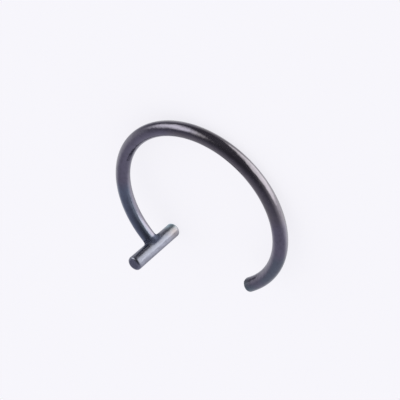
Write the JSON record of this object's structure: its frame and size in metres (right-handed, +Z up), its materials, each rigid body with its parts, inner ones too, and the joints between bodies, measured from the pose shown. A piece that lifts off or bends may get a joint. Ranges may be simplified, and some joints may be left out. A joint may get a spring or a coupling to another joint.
{
  "type": "lip ring with cross bar",
  "caption": "Open hoop lip ring of round black steel wire, with a short cross bar welded across one end that stops it from slipping through.",
  "frame": {"origin": "on the surface that the ring lies on, below the middle of its bounding box", "axes": "+Z up from the surface; +X across the gap, from the cross bar's side of the hoop to the free end's; +Y from the gap to the closed side of the hoop"},
  "size_m": [0.0112, 0.0104, 0.004],
  "materials": {
    "black_steel": "glossy black coating on drawn surgical steel wire"
  },
  "bodies": {
    "root": {"lip_ring": "black_steel"}
  },
  "joints": []
}
